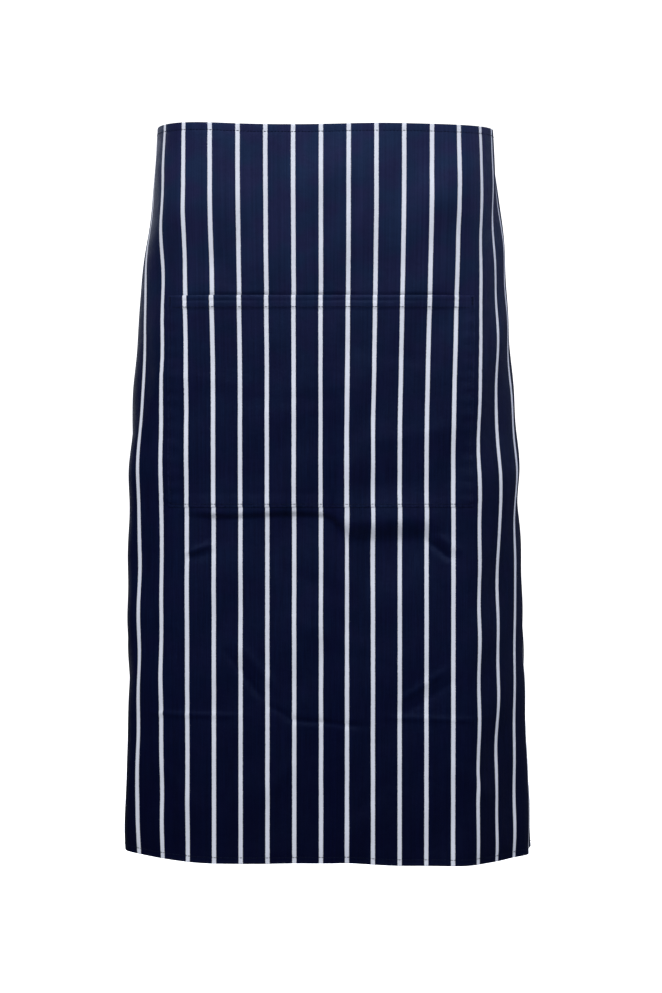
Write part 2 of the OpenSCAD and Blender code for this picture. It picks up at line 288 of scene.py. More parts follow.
def relief(u, v):
    """How far the cloth stands proud of its plain wrapped shape, in millimetres."""
    lift = sum(a * np.sin(2 * math.pi * (fu * u + fv * v) + p) for a, fu, fv, p in WAVES)
    lift = lift * smooth((v + 2) / 60)
    for line in CREASES:
        lift = lift + crease(u, v, *line)
    return lift + pocket_shelf(u, v) - mouth_dent(u, v) + side_waves(u, v) + puckers(u, v)


def at(u, v, d=0.0):
    """Points of the wrapped cloth, d out of its middle."""
    u, v, d = np.broadcast_arrays(*(np.asarray(a, float) for a in (u, v, d)))
    cu = np.clip(u / U_STEP + SIDE_COLS, 0, 2 * SIDE_COLS - 1e-6)
    cv = np.clip((v - V_FROM) / V_STEP, 0, ROWS - 1e-6)
    i, j = cu.astype(int), cv.astype(int)
    a, b = (cu - i)[..., None], (cv - j)[..., None]

    def blend4(table):
        return mix(mix(table[j, i], table[j, i + 1], a),
                   mix(table[j + 1, i], table[j + 1, i + 1], a), b)
    worn = blend4(GRID) + (d + relief(u, v))[..., None] * blend4(OUTWARD)
    worn[..., 2] -= droop(u, v)
    return worn


# ---------------------------------------------------------------- mesh making
def piece(name, points, faces, flat, wear, look, slot, body):
    """One visible piece from points in mm, faces, flat coordinates and a wear value."""
    name += "_" + slot.split("_")[1]
    mesh = bpy.data.meshes.new(name)
    mesh.from_pydata((np.asarray(points) * MM).tolist(), [], faces)
    corner = np.zeros(len(mesh.loops), np.int32)
    mesh.loops.foreach_get("vertex_index", corner)
    layer = mesh.uv_layers.new(name="flat")
    layer.data.foreach_set("uv", np.asarray(flat, np.float32)[corner].ravel())
    worn = mesh.attributes.new("wear", "FLOAT", "POINT")
    worn.data.foreach_set("value", np.asarray(wear, np.float32).ravel())
    mesh.shade_smooth()
    mesh.set_sharp_from_angle(angle=math.radians(50))
    mesh.materials.append(look)
    mesh.validate()
    obj = bpy.data.objects.new(name, mesh)
    bpy.context.scene.collection.objects.link(obj)
    if body:
        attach(obj, body)
    return obj


def thick_sheet(middle, thickness, rim):
    """A closed sheet round a grid of points, its edge rounded in a number of steps.

    Returns the points, the faces, and for each point the number of its grid point."""
    rows, cols = middle.shape[:2]
    down, across = np.gradient(middle, axis=0), np.gradient(middle, axis=1)
    normal = unit(np.cross(down, across))
    half = thickness / 2
    n = rows * cols
    ids = np.arange(n).reshape(rows, cols)
    a, b = ids[:-1, :-1].ravel(), ids[:-1, 1:].ravel()
    c, d = ids[1:, 1:].ravel(), ids[1:, :-1].ravel()
    quads = [np.stack([a, d, c, b], 1), np.stack([a, b, c, d], 1) + n]
    loop = np.concatenate([ids[0, :-1], ids[:-1, -1], ids[-1, :0:-1], ids[:0:-1, 0]])
    away = np.zeros_like(middle)
    away[0] -= unit(down[0])
    away[-1] += unit(down[-1])
    away[:, 0] -= unit(across[:, 0])
    away[:, -1] += unit(across[:, -1])
    mid_loop = middle.reshape(-1, 3)[loop]
    normal_loop = normal.reshape(-1, 3)[loop]
    away_loop = unit(away.reshape(-1, 3)[loop])
    points = [(middle + half * normal).reshape(-1, 3), (middle - half * normal).reshape(-1, 3)]
    owner = [ids.ravel(), ids.ravel()]
    rings = [loop]
    for k in range(1, rim):
        angle = math.pi * k / rim
        points.append(mid_loop + half * (math.cos(angle) * normal_loop
                                         + math.sin(angle) * away_loop))
        owner.append(loop)
        rings.append(2 * n + (k - 1) * len(loop) + np.arange(len(loop)))
    rings.append(loop + n)
    for here, there in zip(rings[:-1], rings[1:]):
        quads.append(np.stack([here, np.roll(here, -1), np.roll(there, -1), there], 1))
    return np.vstack(points), np.vstack(quads).tolist(), np.concatenate(owner)


def sheet_piece(name, middle, flat, thickness, rim, look, slot, body, wear=None):
    """A cloth piece over a grid of points, with the flat coordinates of that grid."""
    points, faces, owner = thick_sheet(middle, thickness, rim)
    flat = np.asarray(flat).reshape(-1, 2)[owner]
    worn = np.zeros(len(owner)) if wear is None else np.asarray(wear).reshape(-1)[owner]
    return piece(name, points, faces, flat, worn, look, slot, body)


def steps(start, stop, step):
    """Even places from start to stop, about a step apart."""
    count = max(1, int(round(abs(stop - start) / step)))
    return np.linspace(start, stop, count + 1)


def joined(*parts):
    """Several lists of places as one, in order and each only once."""
    return np.unique(np.round(np.concatenate(parts), 3))


# ---------------------------------------------------------------- stitches
THREAD_R = 0.26
# Along a stitch from end to end: the place, the height and the thickness
STITCH_PROFILE = ((-1.0, -0.10, 0.25), (-0.72, 0.16, 0.9), (-0.25, 0.27, 1.0),
                  (0.25, 0.27, 1.0), (0.72, 0.16, 0.9), (1.0, -0.10, 0.25))
STITCH_SIDES = 6


def stitch_row(surface, start, end, pitch, faces, length=0.84, phase=0.0):
    """Stitches from one flat point to another, on the faces given as (side, distance)."""
    start, end = np.asarray(start, float), np.asarray(end, float)
    run = end - start
    span = float(np.linalg.norm(run))
    count = max(1, int(span / pitch))
    along = (np.arange(count) + 0.5) / count
    place, rise, girth = np.array(STITCH_PROFILE).T
    rows = []
    for side, lift in faces:
        middles = start + along[:, None] * run
        wobble = 0.05 * np.sin(7.3 * np.arange(count) + phase)
        offsets = place * length * span / count / 2
        flat = middles[:, None, :] + offsets[None, :, None] * run / span
        flat[..., 0] += wobble[:, None] * run[1] / span
        flat[..., 1] += wobble[:, None] * run[0] / span
        height = lift + rise[None, :]
        radius = THREAD_R * girth[None, :, None, None]
        height = np.broadcast_to(height, flat.shape[:2])
        centre = surface(flat[..., 0], flat[..., 1], side * height)
        out = unit(surface(flat[..., 0], flat[..., 1], side * (height + 0.5)) - centre)
        ahead = unit(np.gradient(centre, axis=1))
        aside = unit(np.cross(ahead, out))
        turn_by = 2 * math.pi * np.arange(STITCH_SIDES) / STITCH_SIDES
        ring = (np.cos(turn_by)[None, None, :, None] * out[:, :, None, :]
                + np.sin(turn_by)[None, None, :, None] * aside[:, :, None, :])
        points = centre[:, :, None, :] + radius * ring
        distance = (flat - start) @ (run / span)
        coordinate = np.stack(np.broadcast_arrays(
            distance[:, :, None], turn_by[None, None, :] / (2 * math.pi)), -1)
        rows.append((points, coordinate))
    return rows


def stitch_piece(name, rows, look, body, *stands_for):
    """All the rows of stitches of one seam as one object."""
    points, flats, faces, base = [], [], [], 0
    per = len(STITCH_PROFILE) * STITCH_SIDES
    ring = np.arange(STITCH_SIDES)
    following = np.roll(ring, -1)
    unit_faces = []
    for k in range(len(STITCH_PROFILE) - 1):
        low, high = k * STITCH_SIDES, (k + 1) * STITCH_SIDES
        unit_faces += [[low + a, low + b, high + b, high + a]
                       for a, b in zip(ring.tolist(), following.tolist())]
    caps = [ring[::-1].tolist(), (ring + per - STITCH_SIDES).tolist()]
    for block, coordinate in rows:
        count = len(block)
        points.append(block.reshape(-1, 3))
        flats.append(coordinate.reshape(-1, 2))
        for s in range(count):
            shift = base + s * per
            faces += [[shift + i for i in face] for face in unit_faces + caps]
        base += count * per
    points = np.vstack(points)
    obj = piece(name, points, faces, np.vstack(flats), np.zeros(len(points)), look,
                "sewing_thread", body)
    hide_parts(*stands_for)


# ---------------------------------------------------------------- materials
class Shade:
    """A material's node tree, with short ways to add nodes to it."""

    def __init__(self, name):
        self.material = bpy.data.materials.new(name)
        self.material.use_nodes = True
        self.tree = self.material.node_tree
        self.shader = self.tree.nodes["Principled BSDF"]

    def add(self, kind, settings=None, **inputs):
        node = self.tree.nodes.new("ShaderNode" + kind)
        for key, value in (settings or {}).items():
            setattr(node, key, value)
        for key, value in inputs.items():
            self.plug(node.inputs[key.replace("_", " ")], value)
        return node

    def plug(self, socket, value):
        if isinstance(value, bpy.types.NodeSocket):
            self.tree.links.new(value, socket)
        else:
            socket.default_value = value

    def math(self, operation, *values):
        node = self.tree.nodes.new("ShaderNodeMath")
        node.operation = operation
        for k, value in enumerate(values):
            self.plug(node.inputs[k], value)
        return node.outputs[0]

    def ramp(self, value, low, high, to_low=0.0, to_high=1.0):
        node = self.add("MapRange", {"interpolation_type": "SMOOTHSTEP"}, Value=value,
                        From_Min=low, From_Max=high, To_Min=to_low, To_Max=to_high)
        return node.outputs[0]

    def flat(self):
        node = self.add("UVMap", {"uv_map": "flat"})
        apart = self.add("SeparateXYZ", Vector=node.outputs[0])
        return apart.outputs[0], apart.outputs[1]

    def noise(self, u, v, scale, detail=2.0, rough=0.5):
        place = self.add("CombineXYZ", X=u, Y=v)
        node = self.add("TexNoise", Vector=place.outputs[0], Scale=scale, Detail=detail,
                        Roughness=rough)
        return node.outputs[0]

    def blend(self, factor, a, b, kind="MIX"):
        node = self.add("Mix", {"data_type": "RGBA", "blend_type": kind})
        self.plug(node.inputs[0], factor)
        self.plug(node.inputs[6], a)
        self.plug(node.inputs[7], b)
        return node.outputs[2]

    def bump(self, height, distance, strength=1.0, below=None):
        node = self.add("Bump", Strength=strength, Distance=distance, Height=height)
        if below is not None:
            self.plug(node.inputs["Normal"], below)
        return node.outputs[0]

    def set(self, **inputs):
        for key, value in inputs.items():
            self.plug(self.shader.inputs[key.replace("_", " ")], value)


NAVY = (0.0015, 0.0040, 0.0275, 1)
NAVY_DEEP = (0.0004, 0.0006, 0.0143, 1)
# The lighter navy below serves both the rubbed wear at the edges and the painted light towards
# the waist
NAVY_WORN_AND_PAINTED_LIGHT = (0.0190, 0.0295, 0.0860, 1)
STRIPE_WHITE = (0.67, 0.70, 0.79, 1)
STRIPE_SHADE = (0.42, 0.45, 0.57, 1)
PURPLE_CAST = (1.22, 0.90, 1.02, 1)
TEAL_CAST = (0.80, 1.06, 1.00, 1)
STREAK_DARK = (0.84, 0.85, 0.88, 1)
STREAK_LIGHT = (1.15, 1.14, 1.10, 1)
STRIPE_W = 3.9
TWILL_PITCH = 1.05
YARN = 0.42


def woven(shade, u, v):
    """Twill's slanting ridges and the single yarns that make them, each from 0 to 1."""
    slant = shade.math("ADD", shade.math("MULTIPLY", u, 2 * math.pi / TWILL_PITCH),
                       shade.math("MULTIPLY", v, 2 * math.pi / (1.6 * TWILL_PITCH)))
    uneven = shade.math("MULTIPLY", shade.noise(u, v, 0.45), 2.4)
    ridge = shade.math("MULTIPLY_ADD", shade.math("SINE", shade.math("ADD", slant, uneven)),
                       0.5, 0.5)
    yarn = shade.noise(shade.math("MULTIPLY", u, 1 / YARN), shade.math("MULTIPLY", v, 0.035),
                       1.0, 1.0)
    return ridge, yarn


def cloth_look(name, striped, shift=0.0):
    """Navy twill, with the butcher's stripe woven into it where that is asked for."""
    shade = Shade(name)
    u, v = shade.flat()
    ridge, yarn = woven(shade, u, v)
    patch = shade.noise(u, v, 0.018, 3.0)
    streak = shade.ramp(yarn, 0.32, 0.68)
    navy = shade.blend(shade.math("MULTIPLY", streak, 0.75), NAVY_DEEP, NAVY)
    navy = shade.blend(shade.math("MULTIPLY", ridge, 0.35), navy, NAVY)
    worn = shade.add("Attribute", {"attribute_name": "wear"}).outputs["Fac"]
    rub = shade.math("MULTIPLY", worn, shade.ramp(shade.noise(u, v, 0.35, 4.0), 0.35, 0.75))
    navy = shade.blend(rub, navy, NAVY_WORN_AND_PAINTED_LIGHT)
    # Painted light: the navy is painted a little lighter, most of all towards the waist, where
    # the light from above falls most
    painted_top_light = shade.math("ADD", shade.ramp(v, 290.0, 20.0, 0.0, 0.42),
                      shade.ramp(v, 600.0, 380.0, 0.0, 0.055))
    navy = shade.blend(painted_top_light, navy, NAVY_WORN_AND_PAINTED_LIGHT)
    # Painted shade: the navy is painted darker towards the hem, where less light falls
    navy = shade.blend(shade.ramp(v, 500.0, 700.0, 0.0, 0.7), navy, NAVY_DEEP)
    navy = shade.blend(shade.ramp(patch, 0.35, 0.7, 0.0, 0.22), navy, NAVY_DEEP)
    # The dye took unevenly: blotches of purple and teal, and streaks along the warp
    blotch = shade.ramp(shade.noise(u, v, 0.035, 1.0), 0.36, 0.64)
    cast = shade.blend(blotch, TEAL_CAST, PURPLE_CAST)
    navy = shade.blend(1.0, navy, cast, "MULTIPLY")
    warp = shade.noise(shade.math("MULTIPLY", u, 0.5), shade.math("MULTIPLY", v, 0.004), 1.0,
                       2.0)
    streaks = shade.blend(shade.ramp(warp, 0.3, 0.7), STREAK_DARK, STREAK_LIGHT)
    colour = shade.blend(1.0, navy, streaks, "MULTIPLY")
    if striped:
        drift = shade.math("MULTIPLY_ADD", shade.noise(u, v, 0.02), 0.5, shift - 0.25)
        across = shade.math("ADD", u, drift)
        away = shade.math("PINGPONG", across, STRIPE_PITCH / 2)
        fray = shade.noise(shade.math("MULTIPLY", u, 0.6), shade.math("MULTIPLY", v, 1.4), 1.0,
                           1.0)
        away = shade.math("ADD", away, shade.math("MULTIPLY_ADD", fray, 0.7, -0.35))
        white = shade.ramp(away, STRIPE_W / 2 + 0.32, STRIPE_W / 2 - 0.32)
        weft = shade.math("MULTIPLY_ADD", shade.math("MULTIPLY", ridge, ridge), 0.38, 0.04)
        stripe = shade.blend(weft, STRIPE_WHITE, STRIPE_SHADE)
        stripe = shade.blend(shade.ramp(patch, 0.3, 0.75, 0.0, 0.12), stripe, STRIPE_SHADE)
        colour = shade.blend(white, colour, stripe)
    rough = shade.ramp(shade.noise(u, v, 0.08, 3.0), 0.3, 0.7, 0.51, 0.59)
    crumple = shade.noise(u, v, 0.11, 4.0, 0.55)
    normal = shade.bump(crumple, 0.0010, 0.5)
    normal = shade.bump(shade.math("ADD", ridge, shade.math("MULTIPLY", yarn, 0.7)), 0.00012,
                        0.8, normal)
    shade.set(Base_Color=colour, Roughness=rough, Normal=normal, Sheen_Weight=0.006,
              Sheen_Roughness=0.4, Sheen_Tint=(0.45, 0.55, 0.95, 1), Specular_IOR_Level=0.15,
              Specular_Tint=(0.38, 0.56, 1.0, 1))
    return shade.material


THREAD_DARK = (0.0020, 0.0036, 0.0170, 1)
THREAD_LIGHT = (0.0050, 0.0085, 0.0330, 1)
THREAD_WORN = (0.0100, 0.0160, 0.0520, 1)


def thread_look():
    """Twisted polyester thread, navy like the cloth, with a soft lustre."""
    shade = Shade("thread")
    along, round_it = shade.flat()
    twist = shade.math("SINE", shade.math("MULTIPLY", shade.math(
        "ADD", shade.math("MULTIPLY", along, 1.4), round_it), 2 * math.pi))
    lay = shade.math("MULTIPLY_ADD", twist, 0.5, 0.5)
    tone = shade.noise(along, round_it, 0.6)
    colour = shade.blend(lay, THREAD_DARK, THREAD_LIGHT)
    colour = shade.blend(shade.ramp(tone, 0.3, 0.7, 0.0, 0.3), colour, THREAD_WORN)
    shade.set(Base_Color=colour, Roughness=shade.ramp(tone, 0.3, 0.7, 0.42, 0.6),
              Normal=shade.bump(lay, 0.00008, 0.9), Sheen_Weight=0.01,
              Specular_IOR_Level=0.04)
    return shade.material


def label_look():
    """A blank woven satin label."""
    shade = Shade("label")
    u, v = shade.flat()
    weft = shade.math("MULTIPLY_ADD", shade.math("SINE", shade.math("MULTIPLY", v, 12.0)),
                      0.5, 0.5)
    warp = shade.math("MULTIPLY_ADD", shade.math("SINE", shade.math("MULTIPLY", u, 16.0)),
                      0.5, 0.5)
    grain = shade.math("MULTIPLY", weft, warp)
    dust = shade.noise(u, v, 0.12, 3.0)
    colour = shade.blend(shade.ramp(dust, 0.35, 0.75, 0.0, 0.5), (0.80, 0.79, 0.76, 1),
                         (0.66, 0.65, 0.61, 1))
    colour = shade.blend(shade.math("MULTIPLY", grain, 0.25), colour, (0.9, 0.9, 0.88, 1))
    shade.set(Base_Color=colour, Roughness=shade.ramp(dust, 0.3, 0.7, 0.38, 0.55),
              Normal=shade.bump(grain, 0.00006, 0.7), Sheen_Weight=0.15)
    return shade.material


striped_look = cloth_look("striped_twill", True)
pocket_look = cloth_look("striped_twill_pocket", True, 0.3)
tie_look = cloth_look("navy_twill", False)
thread = thread_look()
label_cloth = label_look()

# ---------------------------------------------------------------- the cloth and its hems
HEM_FOLD = 0.33
WAIST_HEM = 10.0
BOTTOM_HEM = 8.0
SIDE_HEM = 10.0
TIE_TOP = 11.0
TIE_W = 25.0
SIDE_TOP = TIE_TOP + TIE_W + 1.0
SIDE_BOTTOM = FLAT_L - BOTTOM_HEM - 1.0
FOLD_GAP = 0.8
INNER_COLS = 119


def across_cloth(inset):
    """Even columns across the whole cloth, the first and last inset from its side edges."""
    inner = U_STEP * np.arange(-INNER_COLS, INNER_COLS + 1)
    return np.concatenate([[-HALF_W + inset], inner, [HALF_W - inset]])


panel_us = across_cloth(FOLD_GAP)
# The rows are close at the hems, the pocket's mouth, the step under it and the low creases
panel_vs = joined([FOLD_GAP, 2.0, 3.5, 5.0, 6.0, 7.0, 8.0, 9.0, 10.5, 12.5, 15.0],
                  steps(18, 150, 4), steps(152, 176, 1.5), steps(180, 350, 4),
                  steps(352, 416, 1.6), steps(420, 484, 4), steps(486, 574, 2),
                  steps(578, 680, 4),
                  [683, 686, 688.5, 690.5, 692, 693, 694, 695, 696.2, 697.6,
                   FLAT_L - FOLD_GAP])


def edge_wear(u, v):
    """How rubbed the cloth is, by how near its folded edges it lies."""
    near = np.minimum(np.minimum(v, FLAT_L - v), HALF_W - np.abs(u))
    return 0.55 * np.exp(-np.maximum(near, 0) / 1.6) + 0.1 * np.exp(-np.maximum(near, 0) / 9)


U, V = np.meshgrid(panel_us, panel_vs)
panel = sheet_piece("apron", at(U, V), np.stack([U, V], -1), CLOTH_T, 1, striped_look,
                    "striped_cloth", "apron", edge_wear(U, V))
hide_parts("apron_panel")


def hem_section(depth):
    """A turned hem in section, as (distance from the fold, d, length along the cloth)."""
    bend = np.radians(np.linspace(0, 180, 9))
    arc = [(FOLD_GAP - 0.45 * math.sin(b), -HEM_FOLD * (1 - math.cos(b))) for b in bend]
    inside = [(s, -2 * HEM_FOLD - 0.06 * smooth((s - 1) / 2)) for s in steps(1.6, depth, 1.0)]
    tuck = [(depth + 0.1, -2 * HEM_FOLD + 0.02)]
    line = np.array(arc + inside + tuck)
    run = np.concatenate([[0], np.cumsum(np.hypot(*np.diff(line, axis=0).T))])
    return line[:, 0], line[:, 1], run


def hem_piece(name, lengthwise, depth, place, fold_at, stands_for):
    """A hem strip: place(along, inset) gives (u, v), and the fold lies at inset 0."""
    inset, d, run = hem_section(depth)
    along, inset = np.meshgrid(lengthwise, inset)
    d = np.broadcast_to(d[:, None], along.shape)
    wavy = 0.10 * smooth((inset - 2) / 5) * np.sin(along / 4.1 + 0.8 * np.sin(along / 17))
    u, v = place(along, inset)
    flat_u, flat_v = place(along, 2 * FOLD_GAP - run[:, None] + np.zeros_like(along))
    middle = at(u, v, d - np.abs(wavy))
    if fold_at < 0:
        middle, flat_u, flat_v = middle[:, ::-1], flat_u[:, ::-1], flat_v[:, ::-1]
    worn = np.broadcast_to(0.6 * np.exp(-((run - 1.2) / 1.1) ** 2)[:, None], along.shape)
    obj = sheet_piece(name, middle, np.stack([flat_u, flat_v], -1), CLOTH_T, 1, striped_look,
                      "striped_cloth", "apron", worn)
    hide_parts(stands_for)
    return obj


edge_us = across_cloth(0.2)
side_vs = steps(SIDE_TOP, SIDE_BOTTOM, 4)
waist_hem = hem_piece("waist_hem", edge_us, WAIST_HEM, lambda a, s: (a, s), -1, "waist_hem")
bottom_hem = hem_piece("bottom_hem", edge_us, BOTTOM_HEM, lambda a, s: (a, FLAT_L - s), 1,
                       "bottom_hem")
side_hems = [hem_piece("side_hem_" + name, side_vs, SIDE_HEM,
                       lambda a, s, k=side: (k * (HALF_W - s), a), side, "side_hem_" + name)
             for name, side in (("left", -1), ("right", 1))]

# ---------------------------------------------------------------- the pocket
SEAM_MARGIN = 5.0
SEAM_RUN = 40.0
POCKET_OPEN = 5.0
POCKET_HEM = 12.0
ON_CLOTH = CLOTH_T + 0.05


def pocket_rise(u, v):
    """How far the middle of the pocket's cloth stands off the middle of the apron's."""
    inside_u = smooth((POCKET_HALF - SEAM_MARGIN - np.abs(u)) / SEAM_RUN)
    inside_v = smooth((POCKET_BOTTOM - SEAM_MARGIN - v) / SEAM_RUN)
    sag = np.exp(-np.maximum(v - POCKET_TOP, 0) / 60.0)
    gape = 1 + 0.22 * np.sin(u / 21.0 + 0.6) + 0.12 * np.sin(u / 9.0)
    body = 0.42 + 0.58 * sag * gape
    ripple = 0.35 * np.sin(u / 17.0 + v / 60.0) * np.sin(v / 41.0 + 1.0)
    open_rise = inside_u * inside_v * (POCKET_OPEN * body + ripple)
    # The folded mouth rolls back at its very edge, and the turned hem ends in a small step
    depth = v - POCKET_TOP
    roll = -0.5 * (1 - smooth(depth / 3.5))
    groove = -0.45 * (1 + 0.5 * np.sin(u / 23.0)) * np.exp(-((depth - 5.2) / 1.3) ** 2)
    step = -0.7 * smooth((depth - POCKET_HEM + 0.4) / 2.2) * (1 - smooth((depth - 40) / 60))
    hem = smooth((POCKET_HALF - SEAM_MARGIN - np.abs(u)) / 12) * (roll + groove + step)
    return ON_CLOTH + open_rise + hem + mouth_dent(u, v)


def on_pocket(u, v, d=0.0):
    """Points of the pocket's cloth, d out of its middle."""
    return at(u, v, pocket_rise(u, v) + d)


pocket_us = joined([-POCKET_HALF, -POCKET_HALF + 1, POCKET_HALF - 1, POCKET_HALF],
                   steps(-POCKET_HALF + 2.5, POCKET_HALF - 2.5, 2.5))
pocket_vs = joined([POCKET_TOP + FOLD_GAP, 162.6, 163.6], steps(165, 178, 1.0),
                   steps(180, 350, 2.5), steps(352, 360, 1.0), [POCKET_BOTTOM])


def pocket_wear(u, v):
    near = np.minimum(np.minimum(v - POCKET_TOP, POCKET_BOTTOM - v), POCKET_HALF - np.abs(u))
    near = np.maximum(near, 0)
    hem_line = 0.12 * np.exp(-((v - POCKET_TOP - POCKET_HEM) / 1.2) ** 2)
    return 0.35 * np.exp(-near / 1.4) + hem_line


U, V = np.meshgrid(pocket_us, pocket_vs)
pocket = sheet_piece("pocket", on_pocket(U, V), np.stack([U, V], -1), CLOTH_T, 3,
                     pocket_look, "striped_cloth", "apron", pocket_wear(U, V))
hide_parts("pocket_panel")

inset, d, run = hem_section(POCKET_HEM)
A, S = np.meshgrid(pocket_us[::-1], inset)
hem_d = np.broadcast_to((0.75 * d)[:, None], A.shape)
pocket_hem = sheet_piece(
    "pocket_hem", on_pocket(A, POCKET_TOP + S, hem_d),
    np.stack([A, POCKET_TOP + 2 * FOLD_GAP - run[:, None] + 0 * A], -1), 0.45, 1, pocket_look,
    "striped_cloth", "apron", np.broadcast_to(0.9 * np.exp(-((run - 1) / 1.2) ** 2)[:, None],
                                              A.shape))
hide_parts("pocket_hem")

# ---------------------------------------------------------------- stitches of the cloth
OUTER = (1, FACE)
INNER_HEM = (-1, 3 * FACE + 0.12)
INNER_CLOTH = (-1, FACE)
STITCH_PITCH = 3.1
SIDE_COL = HALF_W - 7.0
MOUTH_ROW = POCKET_TOP + POCKET_HEM - 0.8
TACK_H = 9.0

both = (OUTER, INNER_HEM)
for name, row in (("waist_stitching", WAIST_ROW), ("bottom_stitching", BOTTOM_ROW)):
    stitch_piece(name, stitch_row(at, (1 - HALF_W, row), (HALF_W - 1, row), STITCH_PITCH, both),
                 thread, "apron", name)
for name, side in (("left", -1), ("right", 1)):
    stitch_piece("side_stitching_" + name,
                 stitch_row(at, (side * SIDE_COL, SIDE_TOP), (side * SIDE_COL, SIDE_BOTTOM),
                            STITCH_PITCH, both), thread, "apron", "side_stitching_" + name)
mouth_half = POCKET_HALF - SEAM_MARGIN
stitch_piece("pocket_mouth_stitching",
             stitch_row(on_pocket, (-mouth_half, MOUTH_ROW), (mouth_half, MOUTH_ROW),
                        STITCH_PITCH, (OUTER, (-1, 3 * FACE))), thread, "apron",
             "pocket_mouth_stitching")
seam_u = POCKET_HALF - SEAM_INSET
seam_v = POCKET_BOTTOM - SEAM_INSET
seam_top = POCKET_TOP + TACK_H + 1
seam_rows = []
for side in (-1, 1):
    seam_rows += stitch_row(on_pocket, (side * seam_u, seam_top), (side * seam_u, seam_v),
                            STITCH_PITCH, (OUTER,))
    seam_rows += stitch_row(at, (side * seam_u, seam_top), (side * seam_u, seam_v),
                            STITCH_PITCH, (INNER_CLOTH,))
seam_rows += stitch_row(on_pocket, (-seam_u, seam_v), (seam_u, seam_v), STITCH_PITCH, (OUTER,))
seam_rows += stitch_row(at, (-seam_u, seam_v), (seam_u, seam_v), STITCH_PITCH, (INNER_CLOTH,))
stitch_piece("pocket_seam_stitching", seam_rows, thread, "apron", "pocket_seam_stitching")

# A bar tack is a dense row of threads laid across the seam
tack_rows = []
for side in (-1, 1):
    for v in steps(POCKET_TOP + 1.4, POCKET_TOP + TACK_H, 0.42):
        tack_rows += stitch_row(on_pocket, (side * seam_u - 1.1, v), (side * seam_u + 1.1, v),
                                2.2, (OUTER,), 1.0, v)
stitch_piece("pocket_bar_tacks", tack_rows, thread, "apron", "pocket_bar_tacks")

# ---------------------------------------------------------------- ties, knot and bow
TIE_T = 1.6
TIE_LAP = 28.0
TIE_GAP = 0.35
TIE_ACROSS = np.linspace(-1, 1, 17)
TIE_RIM = 5
SMALL_PITCH = 2.7
knot_low, knot_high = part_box("bow_knot")
KNOT = np.array((knot_low + knot_high) / 2) / MM
KNOT_SIZE = np.array(knot_high - knot_low) / MM
TIE_D = -FACE - TIE_GAP - TIE_T / 2


def selvedge_wear(across):
    """How rubbed a tie is, from its middle (0) to its edges (-1 and 1)."""
    return 0.35 * np.exp(-(1 - np.abs(across)) / 0.08)


def tie_strip(side):
    """A waist tie from its sewn end, round the back and gathered into the knot."""
    from_edge = float(np.linalg.norm(at(side * HALF_W, 0) - at(-side * HALF_W, 0))) / 2
    stop = HALF_W + from_edge - KNOT_SIZE[0] / 2 + 5
    run = steps(HALF_W - TIE_LAP, stop, 2.5)
    along, across = np.meshgrid(run, TIE_ACROSS)
    gather = smooth((along - stop + 42) / 36)
    half = TIE_W / 2 * mix(1.0, 0.56, gather)
    pleat = 1.5 * gather * np.cos(3.0 * math.pi * across)
    free = smooth((along - HALF_W) / 30)
    wave = 0.9 * free * np.sin(along / 9.0 + across)
    d = TIE_D + pleat + wave + 4.5 * gather
    v = TIE_TOP + TIE_W / 2 + across * half + 1.6 * free * np.sin((along - HALF_W) / 26)
    middle = at(side * along, v, d)
    if side < 0:
        middle = middle[::-1]
        across = across[::-1]
    flat = np.stack([across * TIE_W / 2, along], -1)
    return middle, flat, selvedge_wear(across), float(run[-1] - run[0])


for name, side in (("left", -1), ("right", 1)):
    middle, flat, worn, length = tie_strip(side)
    tie = sheet_piece("waist_tie_" + name, middle, flat, TIE_T, TIE_RIM, tie_look,
                      "tie_cloth", "apron", worn)
    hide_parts("waist_tie_" + name)
    near, far = HALF_W - TIE_LAP + 4, HALF_W - 4
    top, bottom = TIE_TOP + 4, TIE_TOP + TIE_W - 4
    inner = (-1, FACE + TIE_GAP + TIE_T)
    rows = []
    for start, end in (((near, top), (far, top)), ((far, top), (far, bottom)),
                       ((far, bottom), (near, bottom)), ((near, bottom), (near, top)),
                       ((near, top), (far, bottom)), ((near, bottom), (far, top))):
        rows += stitch_row(at, (side * start[0], start[1]), (side * end[0], end[1]),
                           SMALL_PITCH, (OUTER, inner))
    stitch_piece("tie_box_stitching_" + name, rows, thread, "apron",
                 "tie_box_stitching_" + name)

KNOT_ROUND = 64
KNOT_LONG = 30
KNOT_BOX = 2.7


